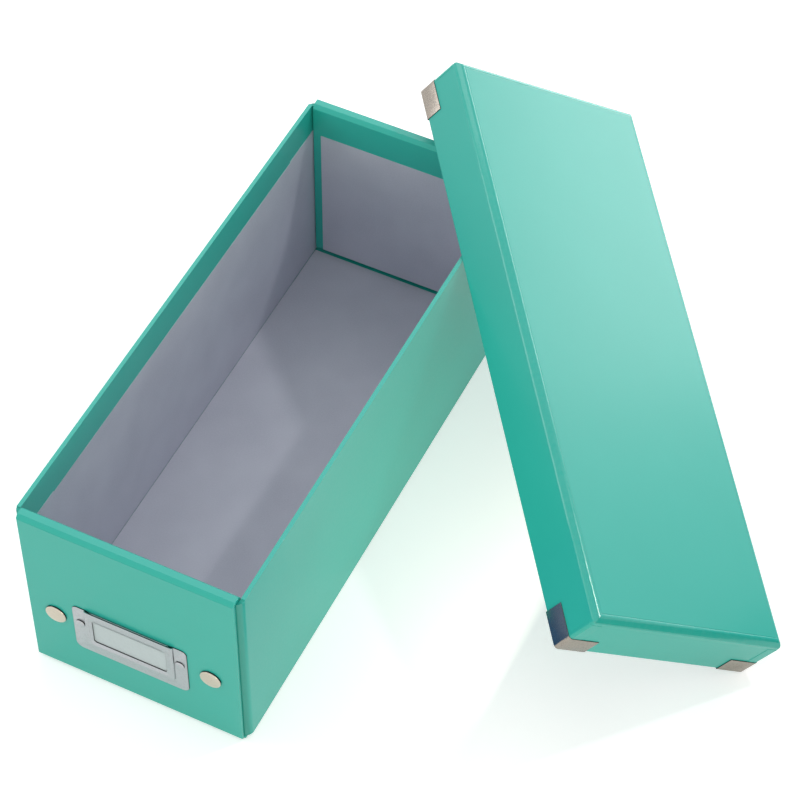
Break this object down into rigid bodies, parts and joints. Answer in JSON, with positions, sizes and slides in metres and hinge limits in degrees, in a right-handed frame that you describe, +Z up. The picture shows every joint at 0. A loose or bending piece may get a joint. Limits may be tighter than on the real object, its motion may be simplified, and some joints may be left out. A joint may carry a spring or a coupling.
{
  "type": "cd storage box",
  "caption": "Long lidded storage box of covered board with fold-over press-stud ends, a metal label holder and metal-cornered lid, the lid leant on its side.",
  "frame": {"origin": "middle of the box's underside, on the surface that it stands on", "axes": "+X towards the long wall that the lid leans on, -Y towards the end with the label holder, +Z up"},
  "size_m": [0.3802, 0.4527, 0.1792],
  "materials": {
    "wrapped_board": "gloss laminated paper over greyboard",
    "wrap_paper": "gloss laminated paper",
    "liner_paper": "matt lining paper",
    "nickel_plate": "nickel plated, satin",
    "stud_plate": "warm nickel plated",
    "card_paper": "matt card"
  },
  "bodies": {
    "box": {"base_board": "wrapped_board", "left_wall": "wrapped_board", "right_wall": "wrapped_board", "front_panel": "wrapped_board", "rear_panel": "wrapped_board", "front_right_flap": "wrapped_board", "front_left_flap": "wrapped_board", "rear_left_flap": "wrapped_board", "rear_right_flap": "wrapped_board", "left_base_fold": "wrap_paper", "right_base_fold": "wrap_paper", "front_base_fold": "wrap_paper", "rear_base_fold": "wrap_paper", "front_right_fold": "wrap_paper", "front_left_fold": "wrap_paper", "rear_left_fold": "wrap_paper", "rear_right_fold": "wrap_paper", "base_liner": "liner_paper", "left_wall_liner": "liner_paper", "right_wall_liner": "liner_paper", "front_right_corner_liner": "liner_paper", "front_left_corner_liner": "liner_paper", "rear_left_corner_liner": "liner_paper", "rear_right_corner_liner": "liner_paper", "label_holder": "nickel_plate", "label_holder_rivets": "nickel_plate", "press_stud_caps": "stud_plate", "press_stud_sockets": "stud_plate", "press_stud_knobs": "stud_plate", "press_stud_eyelets": "stud_plate"},
    "lid": {"lid_top_board": "wrapped_board", "lid_right_skirt": "wrapped_board", "lid_left_skirt": "wrapped_board", "lid_front_skirt": "wrapped_board", "lid_rear_skirt": "wrapped_board", "lid_right_fold": "wrap_paper", "lid_left_fold": "wrap_paper", "lid_front_fold": "wrap_paper", "lid_rear_fold": "wrap_paper", "lid_corner_folds": "wrap_paper", "lid_liner": "liner_paper", "lid_front_right_corner": "nickel_plate", "lid_front_left_corner": "nickel_plate", "lid_rear_left_corner": "nickel_plate", "lid_rear_right_corner": "nickel_plate"},
    "front_fold_over": {"front_top_strip": "wrapped_board", "front_tuck_panel": "wrapped_board", "front_tuck_liner": "liner_paper", "front_outer_crease": "wrap_paper", "front_inner_crease": "wrap_paper"},
    "rear_fold_over": {"rear_top_strip": "wrapped_board", "rear_tuck_panel": "wrapped_board", "rear_tuck_liner": "liner_paper", "rear_outer_crease": "wrap_paper", "rear_inner_crease": "wrap_paper"},
    "card": {"label_card": "card_paper"}
  },
  "joints": [
    {"name": "lid_lift", "type": "slide", "parent": "box", "child": "lid", "axis": [0, 0, 1], "range_m": [0, 0.16]},
    {"name": "front_fold_hinge", "type": "hinge", "parent": "box", "child": "front_fold_over", "pos_m": [0, -0.175, 0.1276], "axis": [1, 0, 0], "range_deg": [0, 170]},
    {"name": "rear_fold_hinge", "type": "hinge", "parent": "box", "child": "rear_fold_over", "pos_m": [0, 0.175, 0.1276], "axis": [-1, 0, 0], "range_deg": [0, 75]},
    {"name": "card_slide", "type": "slide", "parent": "box", "child": "card", "axis": [0, 0, 1], "range_m": [0, 0.033]}
  ]
}
